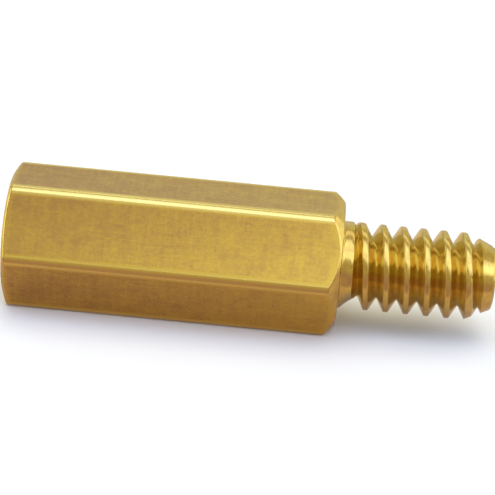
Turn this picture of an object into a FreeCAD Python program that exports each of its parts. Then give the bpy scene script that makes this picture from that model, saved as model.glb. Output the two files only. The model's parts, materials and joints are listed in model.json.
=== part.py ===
"""Male-female hex standoff, turned from one length of drawn hexagonal brass bar.

Millimetres. The axis of the standoff lies along X with the stud towards +X, and the part rests on one of
its flats, so +Z is up. The origin is on the axis, at the shoulder face that the stud stands out of.
The stud and the hole have the same thread, so that standoffs screw together end to end. Both threads are
plain walls here, at the crests of each.
"""
import FreeCAD, Part
import math
import os

# No. 6 thread, 32 to the inch, on the stud and in the hole
THREAD_DIAMETER = 3.505
THREAD_PITCH = 25.4 / 32.0

# Hexagonal bar
ACROSS_FLATS = 5.0
CORNER_RADIUS = 0.3
BODY_LENGTH = 13.0

# Shoulder end of the body: a chamfer, which just cuts into the flats, leaves a round seat about the stud
SEAT_SET_IN = 0.075
SEAT_CHAMFER_ANGLE = 45.0

# Female end of the body: faced flat about the hole, and slightly conical outside that
FACE_SET_IN = 0.2
FACE_CHAMFER_ANGLE = 15.0

# Stud: turned a little under the thread's full diameter, with a coned tip
STUD_CLEARANCE = 0.0475
STUD_LENGTH = 6.0
TIP_CONE_LENGTH = 1.05
TIP_CONE_ANGLE = 25.0

# Tapped hole: blind, drilled one pitch under the thread's diameter, with a mouth countersunk past the thread
HOLE_DEPTH = 9.0
COUNTERSINK_CLEARANCE = 0.1
COUNTERSINK_ANGLE = 90.0
DRILL_POINT_ANGLE = 118.0

# How far a cutting tool or a blank runs past the surface that it shapes
OVERRUN = 1.0

X_AXIS = FreeCAD.Vector(1, 0, 0)
ORIGIN = FreeCAD.Vector(0, 0, 0)


def tangent(degrees):
    return math.tan(math.radians(degrees))


def turned(outline):
    """Solid of revolution about X, from an outline of (x, radius) points that starts and ends on the axis."""
    points = [FreeCAD.Vector(x, 0, radius) for x, radius in outline]
    wire = Part.makePolygon(points + points[:1])
    return Part.Face(wire).revolve(ORIGIN, X_AXIS, 360)


def hexagonal_bar():
    """The drawn bar: flats at top and bottom, and the six long corners rounded by the die."""
    corner_distance = ACROSS_FLATS / math.sqrt(3.0)
    corners = []
    for index in range(6):
        angle = math.radians(60.0 * index)
        y = corner_distance * math.cos(angle)
        z = corner_distance * math.sin(angle)
        corners.append(FreeCAD.Vector(-BODY_LENGTH, y, z))
    section = Part.Face(Part.makePolygon(corners + corners[:1]))
    bar = section.extrude(FreeCAD.Vector(BODY_LENGTH, 0, 0))
    long_edges = [edge for edge in bar.Edges if abs(edge.Length - BODY_LENGTH) < 1e-6]
    return bar.makeFillet(CORNER_RADIUS, long_edges)


def turned_ends():
    """The envelope that the lathe leaves: both ends of the bar chamfered, and open along the flats."""
    outside = ACROSS_FLATS
    face_radius = ACROSS_FLATS / 2.0 - FACE_SET_IN
    seat_radius = ACROSS_FLATS / 2.0 - SEAT_SET_IN
    face_run = (outside - face_radius) * tangent(FACE_CHAMFER_ANGLE)
    seat_run = (outside - seat_radius) * tangent(SEAT_CHAMFER_ANGLE)
    return turned([
        (-BODY_LENGTH, 0),
        (-BODY_LENGTH, face_radius),
        (-BODY_LENGTH + face_run, outside),
        (-seat_run, outside),
        (0, seat_radius),
        (0, 0),
    ])


def stud():
    """The stud at the diameter of its collar and of its thread's crests, rooted inside the body."""
    stud_radius = THREAD_DIAMETER / 2.0 - STUD_CLEARANCE
    tip_radius = stud_radius - TIP_CONE_LENGTH * tangent(TIP_CONE_ANGLE)
    return turned([
        (-OVERRUN, 0),
        (-OVERRUN, stud_radius),
        (STUD_LENGTH - TIP_CONE_LENGTH, stud_radius),
        (STUD_LENGTH, tip_radius),
        (STUD_LENGTH, 0),
    ])


def tapped_hole():
    """What the drill, the tap and the countersink take out of the female end."""
    hole_radius = (THREAD_DIAMETER - THREAD_PITCH) / 2.0
    mouth_radius = THREAD_DIAMETER / 2.0 + COUNTERSINK_CLEARANCE
    slope = tangent(COUNTERSINK_ANGLE / 2.0)
    countersink_depth = (mouth_radius - hole_radius) / slope
    point_length = hole_radius / tangent(DRILL_POINT_ANGLE / 2.0)
    return turned([
        (-BODY_LENGTH - OVERRUN, 0),
        (-BODY_LENGTH - OVERRUN, mouth_radius + OVERRUN * slope),
        (-BODY_LENGTH + countersink_depth, hole_radius),
        (-BODY_LENGTH + HOLE_DEPTH, hole_radius),
        (-BODY_LENGTH + HOLE_DEPTH + point_length, 0),
    ])


def standoff():
    body = hexagonal_bar().common(turned_ends())
    return body.fuse(stud()).cut(tapped_hole()).removeSplitter()


os.makedirs("parts", exist_ok=True)
standoff().exportStep("parts/standoff.step")
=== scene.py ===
"""A male-female hex standoff in brass: the turned piece with both its threads, and a small studio round it.

The piece is modelled in millimetres about its own axis, which lies along X with the stud towards +X, and is
brought to metres when it is finished.
"""
import json
import math
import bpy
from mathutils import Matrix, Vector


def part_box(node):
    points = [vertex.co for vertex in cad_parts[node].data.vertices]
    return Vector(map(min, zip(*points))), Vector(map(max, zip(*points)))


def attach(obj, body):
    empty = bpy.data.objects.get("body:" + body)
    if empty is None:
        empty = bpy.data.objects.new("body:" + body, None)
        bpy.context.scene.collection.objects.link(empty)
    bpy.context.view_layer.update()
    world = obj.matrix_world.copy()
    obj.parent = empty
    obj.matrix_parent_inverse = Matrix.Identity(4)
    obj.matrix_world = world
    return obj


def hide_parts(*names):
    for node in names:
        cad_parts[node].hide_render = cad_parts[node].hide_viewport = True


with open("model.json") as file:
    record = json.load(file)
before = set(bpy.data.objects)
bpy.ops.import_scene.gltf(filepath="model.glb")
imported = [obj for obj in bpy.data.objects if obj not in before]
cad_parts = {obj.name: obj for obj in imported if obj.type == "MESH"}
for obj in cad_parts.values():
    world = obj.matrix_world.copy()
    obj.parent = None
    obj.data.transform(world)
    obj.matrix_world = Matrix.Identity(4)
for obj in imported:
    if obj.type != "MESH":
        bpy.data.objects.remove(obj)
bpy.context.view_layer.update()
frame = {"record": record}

from types import SimpleNamespace

import bmesh
import bpy
from bpy.props import FloatProperty, FloatVectorProperty, PointerProperty
from mathutils import Matrix, Quaternion, Vector

bl_info = {
    "name": "Brass hex standoff",
    "version": (1, 0, 0),
    "blender": (4, 5, 0),
    "location": "3D View > Sidebar > Standoff",
    "description": "A turned brass standoff with a threaded stud and a tapped hole, in a small studio",
    "category": "Add Mesh",
}

MM = 0.001
LOW, HIGH = (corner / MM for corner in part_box("standoff"))
MOUNTS = {mount["name"]: mount["dims"] for mount in frame["record"]["mounts"]}
STUD_RADIUS = MOUNTS["stud"]["r_mm"]
STUD_CONE_START = MOUNTS["stud"]["length_mm"]
HOLE_RADIUS = MOUNTS["tapped_hole"]["r_mm"]

# How finely the round shapes are divided
CORNER_STEPS = 12
FLAT_STEPS = 14
THREAD_STEPS = 96
HOLE_STEPS = 72
FLANK_STEPS = 4
STUDIO_STEPS = 64

# The turn from one flat of the hexagon to the next, half of it, and the lean of a 60 degree thread's flanks
SIXTH = math.radians(60.0)
HALF_SIXTH = math.radians(30.0)
FLANK_LEAN = math.radians(30.0)

# Rings of the end faces stand this far from their rims, in mm, and keep the triangles between well shaped
END_MARGIN = 0.12
# The collar is a plain sleeve from the seat to here, in mm
COLLAR_END = 0.12
# Nothing of the stud or the hole reaches out past this radius, in mm, and all of the bar's edges do
BAR_OUTSIDE = 2.2

# Points this close together, in mm, are at one place
NEAR = 0.001
# A thread's turns are joined where their points are this close, in mm
TURN_MERGE = 0.0005
# Points this close to a cut across a thread, in mm, are moved on to it
CUT_SNAP = 0.004
# Points of the cut's rim this close together, in mm, are merged
RIM_MERGE = 0.03

# The run-out is measured in turns from +Y, where the thread starts beside the collar. It ends after the first
# of these, its groove has its whole depth after the second, and it goes back to its true place between the
# last two.
RUN_OUT_END = 1.1
WHOLE_DEPTH = 0.6
SHIFT_FADE = (0.05, 1.05)
# The groove's width there, as a share of its whole width: the least, the start, and the growth in one turn
LEAST_WIDTH = 0.2
START_WIDTH = 0.13
WIDTH_GROWTH = 1.12
# The slope on the collar's underside comes in over the first of these, in turns, and goes over the second
SLOPE_IN = (0.52, 0.7)
SLOPE_OUT = (0.85, 1.0)

# Of the bar's turned edges, those sharper than the first of these get a bevel. Those of the female end that
# are sharper than the second get a wider one, and the collar's foot, which is as sharp, gets its fillet.
BROKEN_ANGLE = math.radians(12.0)
RIM_ANGLE = math.radians(60.0)
# Faces that meet more sharply than this keep a crisp edge
CRISP_ANGLE = math.radians(33.0)

# The finishes, as the piece's material slots
DRAWN, TURNED, CUT = range(3)
# Faces outside BAR_OUTSIDE were drawn if they face X less than this
DRAWN_FACING = 0.02
# Faces of the stud were cut if they're further below its crests than the first of these, in mm, or face X
# more than the second
CUT_DEPTH = 0.02
FLANK_FACING = 0.6
# Faces this close to the seat, to the stud's end and to the hole's mouth, in mm, aren't flanks of a thread
SEAT_MARGIN = 0.1
TIP_MARGIN = 0.01
MOUTH_MARGIN = 0.4

# How far off the edge of the studio's floor and its wall are, in metres, and the drop from the card to the
# floor that is seen, in mm
FLOOR_RADIUS = 3.0
WALL_RADIUS = 0.75
FLOOR_DROP = 0.01
# The front softbox and the back strip hang at this slant, in degrees, as seen from the piece
SLANT = -25.0
# How brightly the room, the card and the wall shine of themselves
ROOM_STRENGTH = 0.45
CARD_STRENGTH = 0.35
WALL_STRENGTH = 1.0

# The camera looks at a point on the body, in mm, from a direction in degrees and a distance in metres, rolled
# to its left by some degrees. Its lens is in mm, for a frame 36 mm wide.
CAMERA_AIM = Vector((-3.665, 0.047, 0.302))
CAMERA_AZIMUTH = 1.208
CAMERA_ELEVATION = 22.374
CAMERA_DISTANCE = 0.07425
CAMERA_ROLL = 5.053
CAMERA_LENS = 137.85


def linear(hex_colour):
    """An sRGB hex colour as linear red, green, blue and alpha."""
    shares = [int(hex_colour[i:i + 2], 16) / 255.0 for i in (0, 2, 4)]
    return [c / 12.92 if c <= 0.04045 else ((c + 0.055) / 1.055) ** 2.4 for c in shares] + [1.0]


class StandoffSizes(bpy.types.PropertyGroup):
    """What the turned piece measures. The overall sizes come from the frame."""

    across_flats: FloatProperty(
        name="Across flats", description="Width of the hexagonal bar between two flats",
        default=(HIGH.z - LOW.z) * MM, min=0.001, unit="LENGTH")
    corner_radius: FloatProperty(
        name="Corner radius", description="Rounding that the die leaves on the bar's long corners",
        default=0.3 * MM, min=0.00005, unit="LENGTH")
    flat_hollow: FloatProperty(
        name="Flat hollow", description="How far the middle of each flat is drawn in",
        default=0.012 * MM, min=0.0, unit="LENGTH")
    edge_break: FloatProperty(
        name="Edge break", description="Width of the small bevel on the turned edges",
        default=0.045 * MM, min=0.000001, unit="LENGTH")
    rim_break: FloatProperty(
        name="Rim break", description="Width of the bevel round the outside of the female end",
        default=0.1 * MM, min=0.000001, unit="LENGTH")
    root_fillet: FloatProperty(
        name="Root fillet", description="Radius that the tool's nose leaves where the stud meets the seat",
        default=0.1 * MM, min=0.000001, unit="LENGTH")
    seat_set_in: FloatProperty(
        name="Seat set in", description="How far inside the flats the chamfer at the stud's end starts",
        default=0.075 * MM, min=0.0, unit="LENGTH")
    seat_chamfer: FloatProperty(
        name="Seat chamfer", description="Angle between that chamfer and the seat",
        default=math.radians(45.0), subtype="ANGLE")
    face_set_in: FloatProperty(
        name="Face set in", description="How far inside the flats the female end starts to slope",
        default=0.2 * MM, min=0.0, unit="LENGTH")
    face_chamfer: FloatProperty(
        name="Face chamfer", description="Slope of the outside of the female end",
        default=math.radians(15.0), subtype="ANGLE")
    pitch: FloatProperty(
        name="Pitch", description="Distance from one turn of either thread to the next",
        default=25.4 / 32.0 * MM, min=0.0001, unit="LENGTH")
    crest_width: FloatProperty(
        name="Crest width", description="Flat left on top of the stud's thread",
        default=0.18 * MM, min=0.00001, unit="LENGTH")
    thread_edge_break: FloatProperty(
        name="Thread edge break", description="Width of the bevel on the edges of both threads",
        default=0.03 * MM, min=0.000001, unit="LENGTH")
    first_crest: FloatProperty(
        name="First crest", description="Distance of the stud's first crest from the seat, on the +Y side",
        default=0.596 * MM, min=0.0, unit="LENGTH")
    run_out_shift: FloatProperty(
        name="Run-out shift", description="How far the first groove keeps from the seat where it starts",
        default=0.15 * MM, min=0.0, unit="LENGTH")
    collar_taper: FloatProperty(
        name="Collar taper", description="Slope that the die's lead cuts on the underside of the collar",
        default=math.radians(46.0), subtype="ANGLE")
    tip_angle: FloatProperty(
        name="Tip angle", description="Slope of the cone at the stud's tip",
        default=math.radians(25.0), subtype="ANGLE")
    tip_round: FloatProperty(
        name="Tip round", description="Rounding of the edge of the stud's flat end",
        default=0.08 * MM, min=0.000001, unit="LENGTH")
    countersink_rim: FloatProperty(
        name="Countersink rim", description="Radius of the rim of the hole's 90 degree countersink",
        default=1.853 * MM, min=0.001, unit="LENGTH")
    hole_thread: FloatProperty(
        name="Hole thread", description="Length of the hole that is tapped",
        default=7.6 * MM, min=0.002, unit="LENGTH")
    hole_depth: FloatProperty(
        name="Hole depth", description="Depth of the hole down to its drill point",
        default=9.0 * MM, min=0.002, unit="LENGTH")
    drill_point: FloatProperty(
        name="Drill point", description="Whole angle of the cone at the bottom of the hole",
        default=math.radians(118.0), subtype="ANGLE")


class StandoffStudio(bpy.types.PropertyGroup):
    """The colours of the brass and of the studio."""

    brass: FloatVectorProperty(
        name="Brass", description="Clean brass", default=linear("F0BF44"), size=4, min=0.0, max=1.0,
        subtype="COLOR")
    # Painted highlight: the pale colour that the corners of the bar are drawn in, most on the upper ones
    painted_highlight: FloatVectorProperty(
        name="Rubbed brass", description="Brass that hands have rubbed bright, along the upper corners",
        default=linear("FFDA6C"), size=4, min=0.0, max=1.0, subtype="COLOR")
    turned: FloatVectorProperty(
        name="Turned brass", description="The metal that a lathe tool has cut", default=linear("F3C856"),
        size=4, min=0.0, max=1.0, subtype="COLOR")
    # Also the colour that the painted shade on the bar is drawn in
    tarnish_and_shade: FloatVectorProperty(
        name="Tarnish", description="Brass that has been handled", default=linear("C99443"), size=4, min=0.0,
        max=1.0, subtype="COLOR")
    cut: FloatVectorProperty(
        name="Cut brass", description="The fresh metal in the threads", default=linear("E6CB70"), size=4,
        min=0.0, max=1.0, subtype="COLOR")
    floor: FloatVectorProperty(
        name="Floor", description="The paper floor", default=linear("F2F0DA"), size=4, min=0.0, max=1.0,
        subtype="COLOR")
    # The four cards paint light and shade on the ground that the brass reflects
    card: FloatVectorProperty(
        name="Card", description="The ground under the piece, as the brass reflects it",
        default=linear("A197A3"), size=4, min=0.0, max=1.0, subtype="COLOR")
    front_card: FloatVectorProperty(
        name="Card in front", description="The ground in front, as the brass reflects it",
        default=linear("8A7A8E"), size=4, min=0.0, max=1.0, subtype="COLOR")
    edge_card: FloatVectorProperty(
        name="Card at the edge", description="The ground beside the piece, as the brass reflects it",
        default=linear("B3A6B2"), size=4, min=0.0, max=1.0, subtype="COLOR")
    back_card: FloatVectorProperty(
        name="Card behind", description="The ground behind, as the brass reflects it",
        default=linear("BCAD89"), size=4, min=0.0, max=1.0, subtype="COLOR")
    room: FloatVectorProperty(
        name="Room", description="The plain room round the piece", default=linear("FFFFFF"), size=4, min=0.0,
        max=1.0, subtype="COLOR")


def in_millimetres(sizes):
    """The sizes as plain numbers, with the lengths in millimetres, to six decimals."""
    values = {}
    for name in sizes.__annotations__:
        value = getattr(sizes, name)
        values[name] = round(value / MM, 6) if sizes.bl_rna.properties[name].unit == "LENGTH" else value
    return SimpleNamespace(**values)


# Small helpers for points, loops and rims


def radius_of(vert):
    """How far a point is from the axis."""
    return math.hypot(vert.co.y, vert.co.z)


def set_radius(vert, radius):
    """Moves a point straight out from the axis, or in."""
    share = radius / radius_of(vert)
    vert.co.y *= share
    vert.co.z *= share


def extruded(bm, edges):
    """Extrudes a loop of edges where it stands, and gives the new loop and its vertices."""
    made = bmesh.ops.extrude_edge_only(bm, edges=edges)["geom"]
    verts = {item for item in made if isinstance(item, bmesh.types.BMVert)}
    loop = {edge for vert in verts for edge in vert.link_edges if set(edge.verts) <= verts}
    return list(loop), list(verts)


def cut_across(bm, x, keep_below):
    """Cuts the whole mesh square across at x and drops what is past the cut."""
    bmesh.ops.bisect_plane(
        bm, geom=list(bm.verts) + list(bm.edges) + list(bm.faces), dist=CUT_SNAP, use_snap_center=True,
        plane_co=(x, 0, 0), plane_no=(1, 0, 0), clear_outer=keep_below, clear_inner=not keep_below)
    rim = {vert for edge in rims_at(bm, x) for vert in edge.verts}
    # In order round the axis, so that the same points are merged in each run
    in_order = sorted(rim, key=lambda vert: math.atan2(vert.co.z, vert.co.y))
    bmesh.ops.remove_doubles(bm, verts=in_order, dist=RIM_MERGE)


def rims_at(bm, x):
    """The open edges that stand at x."""
    return [edge for edge in bm.edges
            if edge.is_boundary and all(abs(vert.co.x - x) < NEAR for vert in edge.verts)]


# The hexagonal body


def bar_section(bm, sizes):
    """The rounded hexagon of the drawn bar, as one closed loop square to X, with flats at top and bottom."""
    corner = sizes.across_flats / math.sqrt(3.0)
    upright = Matrix.Rotation(math.radians(90.0), 4, "Y")
    bmesh.ops.create_circle(bm, segments=6, radius=corner, matrix=upright)
    rounding = sizes.corner_radius * math.tan(HALF_SIXTH)
    bmesh.ops.bevel(
        bm, geom=list(bm.verts), affect="VERTICES", offset=rounding, segments=CORNER_STEPS, profile=0.5,
        material=-1)
    flats = [edge for edge in bm.edges if edge.calc_length() > sizes.across_flats / 4.0]
    bmesh.ops.subdivide_edges(bm, edges=flats, cuts=FLAT_STEPS)
    # Drawing leaves each flat a hair hollow across its width
    half_flat = corner / 2.0 - rounding
    for vert in bm.verts:
        angle = math.atan2(vert.co.z, vert.co.y)
        square_to_flat = SIXTH * round((angle - HALF_SIXTH) / SIXTH) + HALF_SIXTH
        along = vert.co.z * math.cos(square_to_flat) - vert.co.y * math.sin(square_to_flat)
        if abs(along) < half_flat:
            set_radius(vert, radius_of(vert) - sizes.flat_hollow * (1.0 - (along / half_flat) ** 2))
    return list(bm.edges)


def lay_on_cone(verts, end_x, inward, start_radius, slope):
    """Moves points of the bar's surface along X, on to a cone that starts at start_radius on the end face."""
    for vert in verts:
        vert.co.x = end_x + inward * (radius_of(vert) - start_radius) * math.tan(slope)


def body(sizes):
    """The bar between its two turned ends, open inside the rims of the female face and of the seat."""
    bm = bmesh.new()
    half = sizes.across_flats / 2.0
    face_radius = half - sizes.face_set_in
    seat_radius = half - sizes.seat_set_in
    female_loop = bar_section(bm, sizes)
    female_verts = list(bm.verts)
    shoulder_loop, shoulder_verts = extruded(bm, female_loop)
    lay_on_cone(female_verts, LOW.x, 1.0, face_radius, sizes.face_chamfer)
    lay_on_cone(shoulder_verts, 0.0, -1.0, seat_radius, sizes.seat_chamfer)
    # Each end is flat from here inwards. The last ring leaves the middle open for the stud or the hole.
    for loop, end_x, radius in ((female_loop, LOW.x, face_radius), (shoulder_loop, 0.0, seat_radius)):
        rim, rim_verts = extruded(bm, loop)
        for vert in rim_verts:
            set_radius(vert, radius)
            vert.co.x = end_x
        for vert in extruded(bm, rim)[1]:
            set_radius(vert, radius - END_MARGIN)
    return bm


# Threads


def sweep_thread(outline, start_x, turns, steps, edge_break):
    """Sweeps one pitch of a thread's outline, points of (x, radius), round its helix. Gives a new mesh."""
    bm = bmesh.new()
    verts = [bm.verts.new((start_x + x, radius, 0.0)) for x, radius in outline]
    for pair in zip(verts, verts[1:]):
        bm.edges.new(pair)
    pitch = outline[-1][0] - outline[0][0]
    bmesh.ops.bevel(
        bm, geom=verts[1:-1], affect="VERTICES", offset=edge_break, segments=2, profile=0.5, material=-1)
    # Only the flanks are longer than this. They're divided so that they can follow the run-out and the tip.
    flanks = [edge for edge in bm.edges if edge.calc_length() > pitch / 3.0]
    bmesh.ops.subdivide_edges(bm, edges=flanks, cuts=FLANK_STEPS)
    bmesh.ops.spin(
        bm, geom=list(bm.verts) + list(bm.edges), cent=(0, 0, 0), axis=(1, 0, 0), dvec=(pitch / steps, 0, 0),
        angle=math.tau, steps=steps, use_merge=False, use_duplicate=False)
    one_turn = list(bm.verts) + list(bm.edges) + list(bm.faces)
    for turn in range(1, turns):
        copied = bmesh.ops.duplicate(bm, geom=one_turn)["geom"]
        moved = [item for item in copied if isinstance(item, bmesh.types.BMVert)]
        bmesh.ops.translate(bm, vec=(pitch * turn, 0, 0), verts=moved)
    bmesh.ops.remove_doubles(bm, verts=list(bm.verts), dist=TURN_MERGE)
    return bm


def thread_outline(pitch, crest_radius, crest_width, root_width, outward):
    """One pitch of a 60 degree thread, from the middle of one crest to the middle of the next.

    With no root width the flanks meet in a V, which the edge break rounds.
    """
    half_crest = crest_width / 2.0
    flank = (pitch - crest_width - root_width) / 2.0
    root_radius = crest_radius + outward * flank / math.tan(FLANK_LEAN)
    root = [(half_crest + flank, root_radius)]
    if root_width > 0.0:
        root.append((half_crest + flank + root_width, root_radius))
    return [(0.0, crest_radius), (half_crest, crest_radius), *root, (pitch - half_crest, crest_radius),
            (pitch, crest_radius)]


def fade(value, start, end):
    """0 before start, 1 after end, and a smooth rise between them."""
    share = min(1.0, max(0.0, (value - start) / (end - start)))
    return share * share * (3.0 - 2.0 * share)


def run_out(bm, sizes):
    """Shapes the thread's start, next to the collar.

    The first groove is shallow and narrow there, and keeps away from the seat. Further round, on the
    underside, the die's lead has cut the collar's edge to a slope.
    """
    half_pitch = sizes.pitch / 2.0
    half_groove = (sizes.pitch - sizes.crest_width) / 2.0
    for vert in bm.verts:
        angle = math.atan2(vert.co.z, vert.co.y) / math.tau % 1.0
        place = (vert.co.x - sizes.first_crest) / sizes.pitch - angle + 0.5
        groove = round(place)
        turn = groove + angle
        if turn > RUN_OUT_END:
            continue
        across = (place - groove) * sizes.pitch
        middle = vert.co.x - across
        depth = fade(turn, 0.0, WHOLE_DEPTH)
        width = min(1.0, max(LEAST_WIDTH, START_WIDTH + WIDTH_GROWTH * turn))
        shift = sizes.run_out_shift * (1.0 - fade(turn, *SHIFT_FADE))
        if abs(across) < half_groove:
            vert.co.x = middle + shift + across * width
        else:
            # The crests on both sides stretch or shrink to meet the moved groove
            side = math.copysign(1.0, across)
            edge = middle + shift + side * half_groove * width
            limit = middle + side * half_pitch
            along = (abs(across) - half_groove) / (half_pitch - half_groove)
            vert.co.x = edge + (limit - edge) * along
        set_radius(vert, STUD_RADIUS - (STUD_RADIUS - radius_of(vert)) * depth)
        first_groove = sizes.first_crest + (angle - 0.5) * sizes.pitch
        if COLLAR_END < vert.co.x < first_groove:
            slope = math.tan(sizes.collar_taper) * fade(angle, *SLOPE_IN) * (1.0 - fade(angle, *SLOPE_OUT))
            set_radius(vert, min(radius_of(vert), STUD_RADIUS - (vert.co.x - COLLAR_END) * slope))


def stud(sizes):
    """The collar, the stud's thread and its coned tip, open where the collar meets the seat."""
    outline = thread_outline(sizes.pitch, STUD_RADIUS, sizes.crest_width, root_width=0.0, outward=-1.0)
    # The sweep starts two turns early, so that whole turns stand behind the collar to be cut off
    start_x = sizes.first_crest - 2.0 * sizes.pitch
    turns = math.ceil((HIGH.x - start_x) / sizes.pitch) + 1
    bm = sweep_thread(outline, start_x, turns, THREAD_STEPS, sizes.thread_edge_break)
    run_out(bm, sizes)
    for vert in bm.verts:
        limit = STUD_RADIUS - max(0.0, vert.co.x - STUD_CONE_START) * math.tan(sizes.tip_angle)
        rounded = min(sizes.tip_round, max(0.0, vert.co.x - HIGH.x + sizes.tip_round))
        limit -= sizes.tip_round - math.sqrt(sizes.tip_round ** 2 - rounded ** 2)
        if radius_of(vert) > limit:
            set_radius(vert, limit)
    cut_across(bm, HIGH.x, True)
    bmesh.ops.edgeloop_fill(bm, edges=rims_at(bm, HIGH.x))
    cut_across(bm, COLLAR_END, False)
    root, root_verts = extruded(bm, rims_at(bm, COLLAR_END))
    for vert in root_verts:
        vert.co.x = 0.0
    # A ring of the seat, wide enough for the fillet
    for vert in extruded(bm, root)[1]:
        set_radius(vert, STUD_RADIUS + 2.0 * sizes.root_fillet)
    return bm


def tapped_hole(sizes):
    """The hole's thread, its countersunk mouth and the drill's point, open at the countersink's rim."""
    thread_end = LOW.x + sizes.hole_thread
    drill_end = LOW.x + sizes.hole_depth
    # A tap leaves crests a quarter of the pitch wide and roots an eighth
    outline = thread_outline(
        sizes.pitch, HOLE_RADIUS, crest_width=sizes.pitch / 4.0, root_width=sizes.pitch / 8.0, outward=1.0)
    start_x = LOW.x - 2.0 * sizes.pitch
    turns = math.ceil((thread_end - start_x) / sizes.pitch) + 2
    bm = sweep_thread(outline, start_x, turns, HOLE_STEPS, sizes.thread_edge_break)
    for vert in bm.verts:
        share = 1.0 - fade(vert.co.x, thread_end - 2.0 * sizes.pitch, thread_end)
        radius = HOLE_RADIUS + (radius_of(vert) - HOLE_RADIUS) * share
        mouth = sizes.countersink_rim - (vert.co.x - LOW.x)
        set_radius(vert, max(radius, mouth))
    cut_across(bm, LOW.x, False)
    for vert in extruded(bm, rims_at(bm, LOW.x))[1]:
        set_radius(vert, sizes.countersink_rim + END_MARGIN)
    cut_across(bm, thread_end, True)
    wall_end, wall_verts = extruded(bm, rims_at(bm, thread_end))
    for vert in wall_verts:
        vert.co.x = drill_end
    point_verts = extruded(bm, wall_end)[1]
    tip_x = drill_end + HOLE_RADIUS / math.tan(sizes.drill_point / 2.0)
    bmesh.ops.pointmerge(bm, verts=point_verts, merge_co=(tip_x, 0.0, 0.0))
    return bm


def shape_of_standoff(sizes):
    """The whole piece as one closed mesh, in millimetres."""
    bm = bmesh.new()
    for part in (body(sizes), stud(sizes), tapped_hole(sizes)):
        mesh = bpy.data.meshes.new("part")
        part.to_mesh(mesh)
        part.free()
        bm.from_mesh(mesh)
        bpy.data.meshes.remove(mesh)
    for end_x in (0.0, LOW.x):
        bmesh.ops.triangle_fill(bm, use_beauty=True, edges=rims_at(bm, end_x), normal=(1, 0, 0))
    bmesh.ops.recalc_face_normals(bm, faces=bm.faces)
    turned_edges = [edge for edge in bm.edges
                    if all(radius_of(vert) > BAR_OUTSIDE for vert in edge.verts)
                    and edge.calc_face_angle(0.0) > BROKEN_ANGLE]
    rim = [edge for edge in turned_edges
           if edge.verts[0].co.x < LOW.x / 2.0 and edge.calc_face_angle() > RIM_ANGLE]
    others = [edge for edge in turned_edges if edge not in rim]
    collar_root = [edge for edge in bm.edges
                   if all(abs(vert.co.x) < NEAR and radius_of(vert) < BAR_OUTSIDE for vert in edge.verts)
                   and edge.calc_face_angle(0.0) > RIM_ANGLE]
    for edges, width, segments in (
            (rim, sizes.rim_break, 4), (others, sizes.edge_break, 3), (collar_root, sizes.root_fillet, 4)):
        bmesh.ops.bevel(
            bm, geom=edges, affect="EDGES", offset=width, segments=segments, profile=0.5, material=-1)
    if not all(edge.is_manifold for edge in bm.edges):
        raise RuntimeError("The standoff's mesh isn't closed")
    for face in bm.faces:
        face.smooth = True
        face.material_index = finish_of(face)
    for edge in bm.edges:
        edge.smooth = edge.calc_face_angle(0.0) < CRISP_ANGLE
    return bm


# Materials


def add_node(tree, kind, settings, links):
    """Adds a node, sets its properties and unlinked sockets, and links its inputs to other nodes' outputs."""
    node = tree.nodes.new(kind)
    for name, value in settings.items():
        if isinstance(name, str) and hasattr(node, name):
            setattr(node, name, value)
        else:
            node.inputs[name].default_value = value
    for name, (source, output) in links.items():
        tree.links.new(source.outputs[output], node.inputs[name])
    return node


def per_mm(x, y, z):
    """The Mapping scale that gives a texture of scale 1 this real size along each axis, in mm."""
    return 1.0 / (x * MM), 1.0 / (y * MM), 1.0 / (z * MM)


def empty_material(name):
    """A new material with no nodes in it, and its node tree."""
    material = bpy.data.materials.new(name)
    material.use_nodes = True
    material.node_tree.nodes.clear()
    return material, material.node_tree


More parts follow.
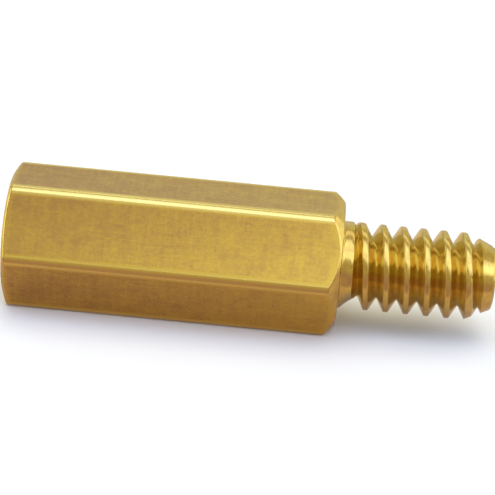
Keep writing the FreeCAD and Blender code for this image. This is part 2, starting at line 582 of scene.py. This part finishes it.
def drawn_brass(sizes, looks):
    """Free-cutting brass, cold drawn through a hexagonal die and then handled.

    It has a satin shine, fine lines along its length from the die, cloudy patches of tarnish that are browner
    than the clean metal, and a few bright nicks. Its colour also holds painted highlights along the edges of
    the corners, pale on the upper corners, and at both ends, and painted shade on the round of each corner,
    towards the top and towards the female end.
    """
    material, tree = empty_material("brass_drawn_bar")
    place = add_node(tree, "ShaderNodeTexCoord", {}, {})
    # Die lines are about 0.01 mm wide. They're drawn 0.07 mm wide, as anything finer doesn't show.
    along = add_node(
        tree, "ShaderNodeMapping", {"Scale": per_mm(4.0, 0.07, 0.07)}, {"Vector": (place, "Object")})
    lines = add_node(
        tree, "ShaderNodeTexNoise", {"Scale": 1.0, "Detail": 3.0, "Roughness": 0.6},
        {"Vector": (along, "Vector")})
    # Patches of tarnish are fingerprint ridges and smears, half a millimetre to a millimetre wide
    patches = add_node(
        tree, "ShaderNodeMapping", {"Scale": per_mm(0.9, 0.6, 0.6)}, {"Vector": (place, "Object")})
    clouds = add_node(
        tree, "ShaderNodeTexNoise", {"Scale": 1.0, "Detail": 5.0, "Roughness": 0.65, "Distortion": 0.4},
        {"Vector": (patches, "Vector")})
    # The metal's own grain is about 0.03 mm across. It's drawn 0.15 mm across, so that it shows.
    crystals = add_node(
        tree, "ShaderNodeMapping", {"Scale": per_mm(0.16, 0.13, 0.13)}, {"Vector": (place, "Object")})
    grain = add_node(
        tree, "ShaderNodeTexNoise", {"Scale": 1.0, "Detail": 2.0, "Roughness": 0.6},
        {"Vector": (crystals, "Vector")})
    # The die chatters a little, which leaves faint bands square to the axis
    bands = add_node(
        tree, "ShaderNodeMapping", {"Scale": per_mm(0.14, 1.4, 1.4)}, {"Vector": (place, "Object")})
    chatter = add_node(
        tree, "ShaderNodeTexNoise", {"Scale": 1.0, "Detail": 2.0, "Roughness": 0.5},
        {"Vector": (bands, "Vector")})
    nicks = add_node(
        tree, "ShaderNodeMapping", {"Scale": per_mm(1.3, 1.3, 1.3)}, {"Vector": (place, "Object")})
    pits = add_node(tree, "ShaderNodeTexVoronoi", {"Scale": 1.0}, {"Vector": (nicks, "Vector")})

    measured = add_node(
        tree, "ShaderNodeMapping", {"Scale": per_mm(1.0, 1.0, 1.0)}, {"Vector": (place, "Object")})
    axes = add_node(tree, "ShaderNodeSeparateXYZ", {}, {"Vector": (measured, "Vector")})
    across = add_node(tree, "ShaderNodeCombineXYZ", {}, {"Y": (axes, "Y"), "Z": (axes, "Z")})
    radius = add_node(tree, "ShaderNodeVectorMath", {"operation": "LENGTH"}, {0: (across, "Vector")})
    to_shoulder = add_node(
        tree, "ShaderNodeMath", {"operation": "ADD"}, {0: (axes, "X"), 1: (radius, "Value")})

    # Each layer adds tarnish and painted shade, or wears it away as painted highlight, where what it reads
    # runs from one value to the other
    half = sizes.across_flats / 2.0
    corner_edge = math.hypot(half, (half - sizes.corner_radius) * math.tan(HALF_SIXTH))
    seat_radius = half - sizes.seat_set_in
    # What it reads and from which output, those two values in mm or as a share, the tarnish and painted shade
    # at each, and how it goes from one to the other
    layers = (
        # Painted shade: darker towards the female end
        (axes, "X", LOW.x, 0.0, 0.58, 0.16, "LINEAR"),
        # Painted light and shade: brighter low down and darker towards the top
        (axes, "Z", 0.2, 2.2, -0.17, 0.08, "LINEAR"),
        # Painted highlight along the two edges of each rounded corner, and painted shade on the round between
        # them
        (radius, "Value", corner_edge - 0.074, corner_edge - 0.024, 0.0, -0.95, "SMOOTHSTEP"),
        (radius, "Value", corner_edge - 0.004, corner_edge + 0.016, 0.0, 0.35, "SMOOTHSTEP"),
        # Painted highlight at both ends, where they meet the flats
        (axes, "X", LOW.x + 0.1, LOW.x + 0.4, -0.5, 0.0, "SMOOTHSTEP"),
        (to_shoulder, "Value", seat_radius - 0.325, seat_radius - 0.075, 0.0, -0.5, "SMOOTHSTEP"),
        (clouds, "Fac", 0.35, 0.68, 0.0, 0.4, "LINEAR"),
        (grain, "Fac", 0.3, 0.7, -0.18, 0.2, "LINEAR"),
        (chatter, "Fac", 0.3, 0.7, -0.12, 0.12, "LINEAR"),
        (lines, "Fac", 0.3, 0.7, -0.1, 0.12, "LINEAR"))
    tarnish_and_shade = None
    for source, output, start, end, least, most, kind in layers:
        layer = add_node(
            tree, "ShaderNodeMapRange",
            {"From Min": start, "From Max": end, "To Min": least, "To Max": most, "interpolation_type": kind},
            {"Value": (source, output)})
        if tarnish_and_shade is None:
            tarnish_and_shade = layer
            continue
        tarnish_and_shade = add_node(
            tree, "ShaderNodeMath", {"operation": "ADD"}, {0: (tarnish_and_shade, 0), 1: (layer, "Result")})
    tarnish_and_shade.use_clamp = True
    # Clean brass, darkened by tarnish and by painted shade
    shaded_and_tarnished = add_node(
        tree, "ShaderNodeMix", {"data_type": "RGBA", 6: looks.brass, 7: looks.tarnish_and_shade},
        {0: (tarnish_and_shade, "Value")})
    # Painted highlight: the corners are drawn pale, the upper ones most
    corner = add_node(
        tree, "ShaderNodeMapRange",
        {"From Min": corner_edge - 0.05, "From Max": corner_edge, "interpolation_type": "SMOOTHSTEP"},
        {"Value": (radius, "Value")})
    highlight_by_height = add_node(
        tree, "ShaderNodeMapRange", {"From Min": 0.5, "From Max": 2.2, "To Min": 0.4}, {"Value": (axes, "Z")})
    painted_highlight = add_node(
        tree, "ShaderNodeMath", {"operation": "MULTIPLY"}, {0: (corner, "Result"), 1: (highlight_by_height, "Result")})
    colour = add_node(
        tree, "ShaderNodeMix", {"data_type": "RGBA", 7: looks.painted_highlight}, {0: (painted_highlight, "Value"), 6: (shaded_and_tarnished, 2)})
    rough = add_node(
        tree, "ShaderNodeMapRange", {"To Min": 0.24, "To Max": 0.3}, {"Value": (tarnish_and_shade, "Value")})
    pit_depth = add_node(tree, "ShaderNodeMapRange", {"From Max": 0.07}, {"Value": (pits, "Distance")})
    height = add_node(
        tree, "ShaderNodeMath", {"operation": "MULTIPLY_ADD", 1: 0.5},
        {0: (lines, "Fac"), 2: (pit_depth, "Result")})
    bump = add_node(
        tree, "ShaderNodeBump", {"Strength": 0.2, "Distance": 0.003 * MM}, {"Height": (height, "Value")})
    shader = add_node(
        tree, "ShaderNodeBsdfPrincipled", {"Metallic": 1.0},
        {"Base Color": (colour, 2), "Roughness": (rough, "Result"), "Normal": (bump, "Normal")})
    add_node(tree, "ShaderNodeOutputMaterial", {}, {"Surface": (shader, "BSDF")})
    return material


def turned_brass(looks):
    """Brass turned on a lathe: brighter than the drawn bar, with fine rings round the axis from the feed."""
    material, tree = empty_material("brass_turned")
    place = add_node(tree, "ShaderNodeTexCoord", {}, {})
    measured = add_node(
        tree, "ShaderNodeMapping", {"Scale": per_mm(1.0, 1.0, 1.0)}, {"Vector": (place, "Object")})
    axes = add_node(tree, "ShaderNodeSeparateXYZ", {}, {"Vector": (measured, "Vector")})
    across = add_node(tree, "ShaderNodeCombineXYZ", {}, {"Y": (axes, "Y"), "Z": (axes, "Z")})
    radius = add_node(tree, "ShaderNodeVectorMath", {"operation": "LENGTH"}, {0: (across, "Vector")})
    # The feed is about 0.03 mm a turn. The rings are drawn about 0.08 mm apart, so that some of them show.
    feed = add_node(tree, "ShaderNodeMath", {"operation": "ADD"}, {0: (axes, "X"), 1: (radius, "Value")})
    rings = add_node(
        tree, "ShaderNodeTexNoise", {"noise_dimensions": "1D", "Scale": 1.0 / 0.08, "Detail": 2.0},
        {"W": (feed, "Value")})
    patches = add_node(
        tree, "ShaderNodeMapping", {"Scale": per_mm(0.35, 0.35, 0.35)}, {"Vector": (place, "Object")})
    clouds = add_node(
        tree, "ShaderNodeTexNoise", {"Scale": 1.0, "Detail": 4.0, "Roughness": 0.6},
        {"Vector": (patches, "Vector")})
    dull = add_node(
        tree, "ShaderNodeMapRange", {"From Min": 0.4, "From Max": 0.75, "To Max": 0.6},
        {"Value": (clouds, "Fac")})
    colour = add_node(
        tree, "ShaderNodeMix", {"data_type": "RGBA", 6: looks.turned, 7: looks.tarnish_and_shade},
        {0: (dull, "Result")})
    rough = add_node(
        tree, "ShaderNodeMapRange", {"From Min": 0.25, "From Max": 0.75, "To Min": 0.16, "To Max": 0.26},
        {"Value": (rings, "Fac")})
    bump = add_node(
        tree, "ShaderNodeBump", {"Strength": 0.2, "Distance": 0.003 * MM}, {"Height": (rings, "Fac")})
    shader = add_node(
        tree, "ShaderNodeBsdfPrincipled", {"Metallic": 1.0},
        {"Base Color": (colour, 2), "Roughness": (rough, "Result"), "Normal": (bump, "Normal")})
    add_node(tree, "ShaderNodeOutputMaterial", {}, {"Surface": (shader, "BSDF")})
    return material


def threaded_brass(looks):
    """Brass cut with a threading die or a tap: the clean, bright metal, torn a little along the cut.

    Light is thrown to and fro between a groove's two flanks, which is what makes the grooves a deep gold.
    """
    material, tree = empty_material("brass_cut_thread")
    place = add_node(tree, "ShaderNodeTexCoord", {}, {})
    # Tearing follows the cut round the axis. Its marks are 0.02 mm wide, and are drawn 0.06 mm wide.
    tears = add_node(
        tree, "ShaderNodeMapping", {"Scale": per_mm(0.06, 0.3, 0.3)}, {"Vector": (place, "Object")})
    torn = add_node(
        tree, "ShaderNodeTexNoise", {"Scale": 1.0, "Detail": 3.0, "Roughness": 0.6},
        {"Vector": (tears, "Vector")})
    patches = add_node(
        tree, "ShaderNodeMapping", {"Scale": per_mm(0.4, 0.4, 0.4)}, {"Vector": (place, "Object")})
    clouds = add_node(
        tree, "ShaderNodeTexNoise", {"Scale": 1.0, "Detail": 3.0, "Roughness": 0.6},
        {"Vector": (patches, "Vector")})
    dull = add_node(
        tree, "ShaderNodeMapRange", {"From Min": 0.3, "From Max": 0.7, "To Max": 0.35},
        {"Value": (clouds, "Fac")})
    colour = add_node(
        tree, "ShaderNodeMix", {"data_type": "RGBA", 6: looks.cut, 7: looks.tarnish_and_shade}, {0: (dull, "Result")})
    rough = add_node(
        tree, "ShaderNodeMapRange", {"From Min": 0.3, "From Max": 0.7, "To Min": 0.1, "To Max": 0.22},
        {"Value": (torn, "Fac")})
    bump = add_node(
        tree, "ShaderNodeBump", {"Strength": 0.25, "Distance": 0.004 * MM}, {"Height": (torn, "Fac")})
    shader = add_node(
        tree, "ShaderNodeBsdfPrincipled", {"Metallic": 1.0},
        {"Base Color": (colour, 2), "Roughness": (rough, "Result"), "Normal": (bump, "Normal")})
    add_node(tree, "ShaderNodeOutputMaterial", {}, {"Surface": (shader, "BSDF")})
    return material


def finish_of(face):
    """Which finish a face has, from its place and the way it faces."""
    middle = face.calc_center_median()
    radius = math.hypot(middle.y, middle.z)
    if radius > BAR_OUTSIDE:
        return DRAWN if abs(face.normal.x) < DRAWN_FACING else TURNED
    if middle.x > 0.0:
        in_groove = radius < STUD_RADIUS - CUT_DEPTH and middle.x < STUD_CONE_START
        flank = SEAT_MARGIN < middle.x < HIGH.x - TIP_MARGIN and abs(face.normal.x) > FLANK_FACING
        return CUT if in_groove or flank else TURNED
    past_mouth = middle.x > LOW.x + MOUTH_MARGIN
    return CUT if past_mouth and radius > HOLE_RADIUS - NEAR else TURNED


# The piece


class STANDOFF_OT_piece(bpy.types.Operator):
    """Model the turned brass standoff, with its stud's thread and its tapped hole"""

    bl_idname = "standoff.piece"
    bl_label = "Standoff"
    bl_options = {"REGISTER", "UNDO"}

    def execute(self, context):
        sizes = in_millimetres(context.scene.standoff_sizes)
        looks = context.scene.standoff_studio
        bm = shape_of_standoff(sizes)
        bmesh.ops.scale(bm, vec=(MM, MM, MM), verts=bm.verts)
        mesh = bpy.data.meshes.new("brass_standoff")
        bm.to_mesh(mesh)
        bm.free()
        piece = bpy.data.objects.new("brass_standoff", mesh)
        context.scene.collection.objects.link(piece)
        # In the order of the slots that finish_of gives
        for material in (drawn_brass(sizes, looks), turned_brass(looks), threaded_brass(looks)):
            mesh.materials.append(material)
        shading = piece.modifiers.new("flat faces shade flat", "WEIGHTED_NORMAL")
        shading.mode = "FACE_AREA"
        shading.keep_sharp = True
        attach(piece, "root")
        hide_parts("standoff")
        return {"FINISHED"}


# The studio


def paper(looks):
    """Matt white backdrop paper: it takes soft shadows and has no shine to speak of."""
    material, tree = empty_material("paper_matt_white")
    shader = add_node(
        tree, "ShaderNodeBsdfPrincipled",
        {"Base Color": looks.floor, "Roughness": 0.9, "Specular IOR Level": 0.1}, {})
    add_node(tree, "ShaderNodeOutputMaterial", {}, {"Surface": (shader, "BSDF")})
    return material


def reflected_card(looks):
    """Matt mauve card that also glows a little, with painted light and shade on it: lighter beside the piece
    and behind it, darker under it and darkest in front. It's what the brass reflects of the ground.
    """
    material, tree = empty_material("card_mauve_painted_light")
    place = add_node(tree, "ShaderNodeTexCoord", {}, {})
    measured = add_node(
        tree, "ShaderNodeMapping", {"Scale": per_mm(1.0, 1.0, 1.0)}, {"Vector": (place, "Object")})
    axes = add_node(tree, "ShaderNodeSeparateXYZ", {}, {"Vector": (measured, "Vector")})
    # The painted light and shade run from the front to the back, between these places along Y in mm
    reach = 10.0
    front, *between, back = (
        (-5.0, looks.front_card), (-3.9, looks.edge_card), (-3.0, looks.card), (0.0, looks.card),
        (2.0, looks.back_card))
    across = add_node(
        tree, "ShaderNodeMapRange", {"From Min": -reach, "From Max": reach}, {"Value": (axes, "Y")})
    colour = add_node(tree, "ShaderNodeValToRGB", {}, {"Fac": (across, "Result")})
    stops = colour.color_ramp.elements
    for stop, (y, shade) in ((stops[0], front), (stops[1], back)):
        stop.position, stop.color = 0.5 + y / reach / 2.0, shade
    for y, shade in between:
        stops.new(0.5 + y / reach / 2.0).color = shade
    shader = add_node(
        tree, "ShaderNodeBsdfPrincipled",
        {"Roughness": 1.0, "Specular IOR Level": 0.0, "Emission Strength": CARD_STRENGTH},
        {"Base Color": (colour, "Color"), "Emission Color": (colour, "Color")})
    add_node(tree, "ShaderNodeOutputMaterial", {}, {"Surface": (shader, "BSDF")})
    return material


def lit_wall(looks):
    """A white wall, evenly lit."""
    material, tree = empty_material("wall_lit_white")
    shader = add_node(
        tree, "ShaderNodeBsdfPrincipled",
        {"Base Color": (0.0, 0.0, 0.0, 1.0), "Specular IOR Level": 0.0, "Emission Color": looks.room,
         "Emission Strength": WALL_STRENGTH}, {})
    add_node(tree, "ShaderNodeOutputMaterial", {}, {"Surface": (shader, "BSDF")})
    return material


def staged(scene, name, bm, material):
    """Makes an object of the studio from a mesh."""
    mesh = bpy.data.meshes.new(name)
    bm.to_mesh(mesh)
    bm.free()
    mesh.materials.append(material)
    thing = bpy.data.objects.new(name, mesh)
    scene.collection.objects.link(thing)
    return thing


def ground(z):
    """A wide round floor at a height in mm."""
    bm = bmesh.new()
    bmesh.ops.create_circle(bm, cap_ends=True, segments=STUDIO_STEPS, radius=FLOOR_RADIUS)
    bmesh.ops.translate(bm, vec=(0, 0, z * MM), verts=bm.verts)
    return bm


def from_piece(azimuth, elevation):
    """The direction from the piece to a place, with the azimuth from -Y towards +X and both in degrees."""
    azimuth, elevation = math.radians(azimuth), math.radians(elevation)
    return Vector((math.sin(azimuth) * math.cos(elevation), -math.cos(azimuth) * math.cos(elevation),
                   math.sin(elevation)))


def softbox(scene, name, colour, radiance, azimuth, elevation, distance, width, height, turn=0.0, slide=0.0):
    """A rectangular lamp that faces the piece, turned from level and slid sideways.

    Angles are in degrees and lengths in metres. A lamp of the same radiance looks as bright at any size.
    """
    lamp = bpy.data.lights.new(name, "AREA")
    lamp.shape = "RECTANGLE"
    lamp.size = width
    lamp.size_y = height
    lamp.energy = radiance * math.pi * width * height
    lamp.color = linear(colour)[:3]
    holder = bpy.data.objects.new(name, lamp)
    towards = from_piece(azimuth, elevation)
    facing = towards.to_track_quat("Z", "Y") @ Quaternion((0, 0, 1), math.radians(turn))
    holder.location = towards * distance + facing @ Vector((slide, 0.0, 0.0))
    holder.rotation_mode = "QUATERNION"
    holder.rotation_quaternion = facing
    holder.visible_camera = False
    scene.collection.objects.link(holder)
    return holder


def lay_ground(scene, looks):
    """The floor that is seen, and a hair above it the duller card that the brass reflects instead."""
    floor = staged(scene, "floor", ground(LOW.z - FLOOR_DROP), paper(looks))
    floor.visible_glossy = False
    card = staged(scene, "floor_card", ground(LOW.z), reflected_card(looks))
    card.visible_camera = False
    card.visible_diffuse = False
    card.visible_shadow = False


def stand_wall(scene, looks):
    """A round wall behind everything, which only the camera sees."""
    bm = bmesh.new()
    bmesh.ops.create_cone(
        bm, cap_ends=False, segments=STUDIO_STEPS, radius1=WALL_RADIUS, radius2=WALL_RADIUS,
        depth=2.0 * WALL_RADIUS)
    wall = staged(scene, "wall", bm, lit_wall(looks))
    wall.visible_glossy = False
    wall.visible_diffuse = False
    wall.visible_shadow = False


def light_room(scene, looks):
    """An even, weak light from all sides."""
    world = bpy.data.worlds.new("plain_room")
    world.use_nodes = True
    background = world.node_tree.nodes["Background"]
    background.inputs["Color"].default_value = looks.room
    background.inputs["Strength"].default_value = ROOM_STRENGTH
    scene.world = world
    scene.view_settings.view_transform = "Standard"


def hang_lamps(scene):
    """The lamps round the piece, all of them soft. All but the one for the floor are cool."""
    # Three softboxes in a row give the broad highlights along the top of the piece
    softbox(scene, "front_softbox", "9BB3FF", 2.5, azimuth=0.0, elevation=66.0, distance=0.4, width=0.65,
            height=0.37, turn=SLANT, slide=0.1)
    softbox(scene, "right_softbox", "9BB3FF", 2.5, azimuth=0.0, elevation=66.0, distance=0.4, width=0.3,
            height=0.44, slide=0.62)
    softbox(scene, "left_softbox", "9BB3FF", 1.75, azimuth=0.0, elevation=66.0, distance=0.4, width=0.3,
            height=0.44, slide=-0.62)
    # Panels beyond both ends light the chamfers
    softbox(scene, "right_panel", "BFD1FF", 1.25, azimuth=98.0, elevation=18.0, distance=0.6, width=0.7,
            height=0.45)
    softbox(scene, "left_panel", "BFD1FF", 1.08, azimuth=-88.0, elevation=18.0, distance=0.6, width=0.7,
            height=0.45)
    # Behind the piece, a narrow strip draws the thin line over the stud, and a weak fill lights the top flat
    softbox(scene, "back_strip", "AEC0FF", 1.52, azimuth=0.0, elevation=117.0, distance=0.4, width=0.7,
            height=0.1, turn=SLANT)
    softbox(scene, "back_fill", "C0E3FF", 0.34, azimuth=0.0, elevation=153.0, distance=0.5, width=1.2,
            height=0.36)
    # A warm lamp from above whitens the floor and leaves no highlight on the brass
    overhead = softbox(scene, "floor_light", "FFE795", 1.1, azimuth=0.0, elevation=90.0, distance=1.0,
                       width=1.2, height=1.2)
    overhead.visible_glossy = False


def set_camera(scene):
    """The camera, in front of the piece and a little above it."""
    camera = bpy.data.cameras.new("camera")
    camera.sensor_width = 36.0
    camera.lens = CAMERA_LENS
    camera.clip_start = 0.005
    camera.clip_end = 10.0
    holder = bpy.data.objects.new("camera", camera)
    towards = from_piece(CAMERA_AZIMUTH, CAMERA_ELEVATION)
    holder.location = CAMERA_AIM * MM + towards * CAMERA_DISTANCE
    holder.rotation_mode = "QUATERNION"
    roll = Quaternion((0, 0, 1), math.radians(CAMERA_ROLL))
    holder.rotation_quaternion = towards.to_track_quat("Z", "Y") @ roll
    scene.collection.objects.link(holder)
    scene.camera = holder


class STANDOFF_OT_studio(bpy.types.Operator):
    """Lay the pale floor, hang the soft lamps and set up the camera"""

    bl_idname = "standoff.studio"
    bl_label = "Studio"
    bl_options = {"REGISTER", "UNDO"}

    def execute(self, context):
        scene = context.scene
        looks = scene.standoff_studio
        lay_ground(scene, looks)
        stand_wall(scene, looks)
        light_room(scene, looks)
        hang_lamps(scene)
        set_camera(scene)
        return {"FINISHED"}


# The add-on


class STANDOFF_PT_panel(bpy.types.Panel):
    """The steps that make the standoff and its studio, and the sizes and colours they use"""

    bl_idname = "STANDOFF_PT_panel"
    bl_label = "Standoff"
    bl_space_type = "VIEW_3D"
    bl_region_type = "UI"
    bl_category = "Standoff"

    def draw(self, context):
        for operator in OPERATORS:
            self.layout.operator(operator.bl_idname)
        for settings in (context.scene.standoff_sizes, context.scene.standoff_studio):
            for name in settings.__annotations__:
                self.layout.prop(settings, name)


OPERATORS = (STANDOFF_OT_piece, STANDOFF_OT_studio)
CLASSES = (StandoffSizes, StandoffStudio, *OPERATORS, STANDOFF_PT_panel)


def register():
    for cls in CLASSES:
        bpy.utils.register_class(cls)
    bpy.types.Scene.standoff_sizes = PointerProperty(type=StandoffSizes)
    bpy.types.Scene.standoff_studio = PointerProperty(type=StandoffStudio)


def unregister():
    del bpy.types.Scene.standoff_studio
    del bpy.types.Scene.standoff_sizes
    for cls in reversed(CLASSES):
        bpy.utils.unregister_class(cls)


def main():
    """Makes the piece and its studio."""
    register()
    bpy.ops.standoff.piece()
    bpy.ops.standoff.studio()


if __name__ == "__main__":
    main()
